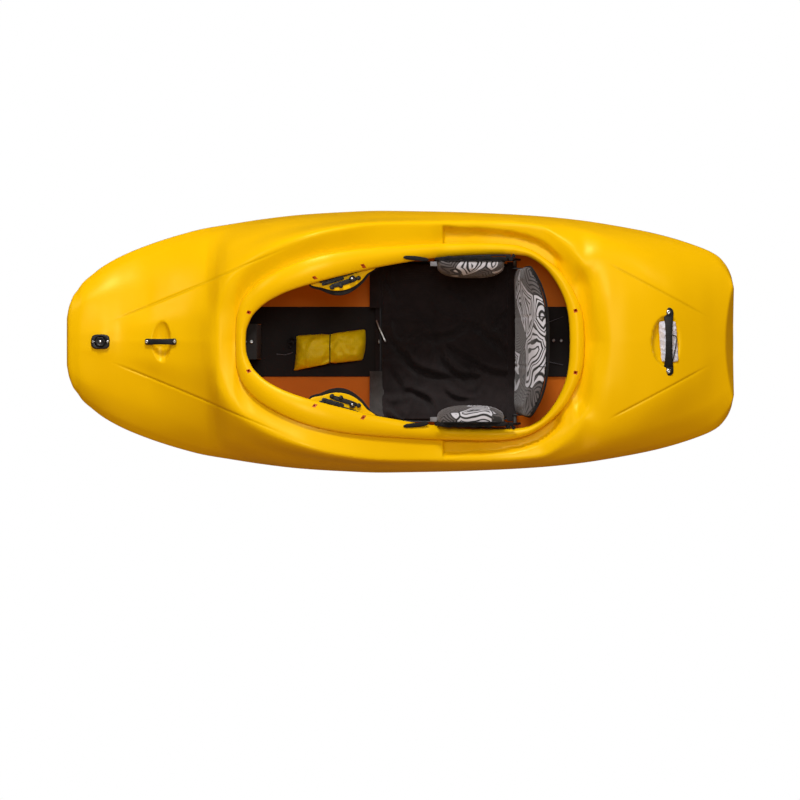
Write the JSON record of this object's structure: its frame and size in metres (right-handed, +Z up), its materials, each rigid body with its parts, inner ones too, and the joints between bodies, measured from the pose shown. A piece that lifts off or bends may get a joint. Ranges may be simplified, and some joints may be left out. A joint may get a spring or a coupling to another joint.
{
  "type": "whitewater kayak",
  "caption": "short, wide moulded whitewater kayak with a high cockpit rim, padded seat, hip pads, backband, thigh braces, foam pillars, stern handle and drain plug",
  "frame": {"origin": "on the ground under the middle of the boat's box", "axes": "+X from bow to stern, +Y to starboard, +Z up"},
  "size_m": [1.74, 0.6886, 0.3792],
  "materials": {
    "moulded_polyethylene": "semi-gloss rotomoulded",
    "black_plastic": "satin",
    "black_foam": "matt closed-cell foam",
    "black_fabric": "matt woven",
    "pattern_fabric": "woven print in grey, black and white",
    "bag_nylon": "thin coated nylon",
    "tag_nylon": "thin coated nylon",
    "black_rubber": "matt",
    "grey_cord": "braided",
    "steel": "satin stainless"
  },
  "bodies": {
    "moulding": {"hull": "moulded_polyethylene", "deck": "moulded_polyethylene", "cockpit_rim": "moulded_polyethylene", "drain_plug_housing": "black_plastic", "bow_bar": "black_plastic", "seat_rail_starboard": "black_plastic", "seat_rail_port": "black_plastic", "thigh_brace_track_starboard": "black_plastic", "thigh_brace_track_port": "black_plastic", "front_pillar": "black_foam", "rear_pillar": "black_foam", "floor_mat_front": "black_foam", "floor_mat_rear": "black_foam", "foot_block_starboard": "black_foam", "foot_block_port": "black_foam", "kit_bag": "bag_nylon", "tag_pouch": "tag_nylon", "stern_handle": "black_rubber", "kit_bag_band": "black_rubber", "pull_tab_starboard": "black_rubber", "pull_tab_port": "black_rubber", "backband_cord_starboard": "grey_cord", "backband_cord_port": "grey_cord", "drain_housing_screw_fore": "steel", "drain_housing_screw_aft": "steel", "bow_bar_screw_fore": "steel", "bow_bar_screw_aft": "steel", "stern_handle_bolt_starboard": "steel", "stern_handle_bolt_port": "steel", "pillar_bolt_fore": "steel", "pillar_bolt_aft": "steel"},
    "seat": {"seat_pan": "black_plastic", "seat_cushion": "black_fabric", "seat_strap": "steel", "hip_plate_starboard": "black_plastic", "hip_plate_port": "black_plastic", "hip_pad_starboard": "pattern_fabric", "hip_pad_port": "pattern_fabric", "cord_cleat_starboard": "black_plastic", "cord_cleat_port": "black_plastic"},
    "backband": {"backband_shell": "black_plastic", "backband_pad": "pattern_fabric", "backband_pin_starboard": "steel", "backband_pin_port": "steel"},
    "starboard_brace": {"thigh_brace_starboard": "moulded_polyethylene", "thigh_brace_pad_starboard": "black_foam", "thigh_brace_knob_starboard": "black_plastic", "thigh_brace_stud_starboard": "steel"},
    "port_brace": {"thigh_brace_port": "moulded_polyethylene", "thigh_brace_pad_port": "black_foam", "thigh_brace_knob_port": "black_plastic", "thigh_brace_stud_port": "steel"},
    "plug": {"drain_plug": "black_plastic", "drain_plug_seal": "black_rubber", "drain_plug_stud": "steel"}
  },
  "joints": [
    {"name": "seat_slide", "type": "slide", "parent": "moulding", "child": "seat", "axis": [1, 0, 0], "range_m": [-0.02, 0.01]},
    {"name": "backband_tilt", "type": "hinge", "parent": "seat", "child": "backband", "pos_m": [0.29893, 0, 0.154], "axis": [0, 1, 0], "range_deg": [-5, 7]},
    {"name": "starboard_brace_slide", "type": "slide", "parent": "moulding", "child": "starboard_brace", "axis": [0.9404, 0.2915, -0.1749], "range_m": [-0.01, 0.01]},
    {"name": "port_brace_slide", "type": "slide", "parent": "moulding", "child": "port_brace", "axis": [0.9404, -0.2915, -0.1749], "range_m": [-0.01, 0.01]},
    {"name": "drain_plug_lift", "type": "slide", "parent": "moulding", "child": "plug", "axis": [0, 0, 1], "range_m": [0, 0.03]}
  ]
}
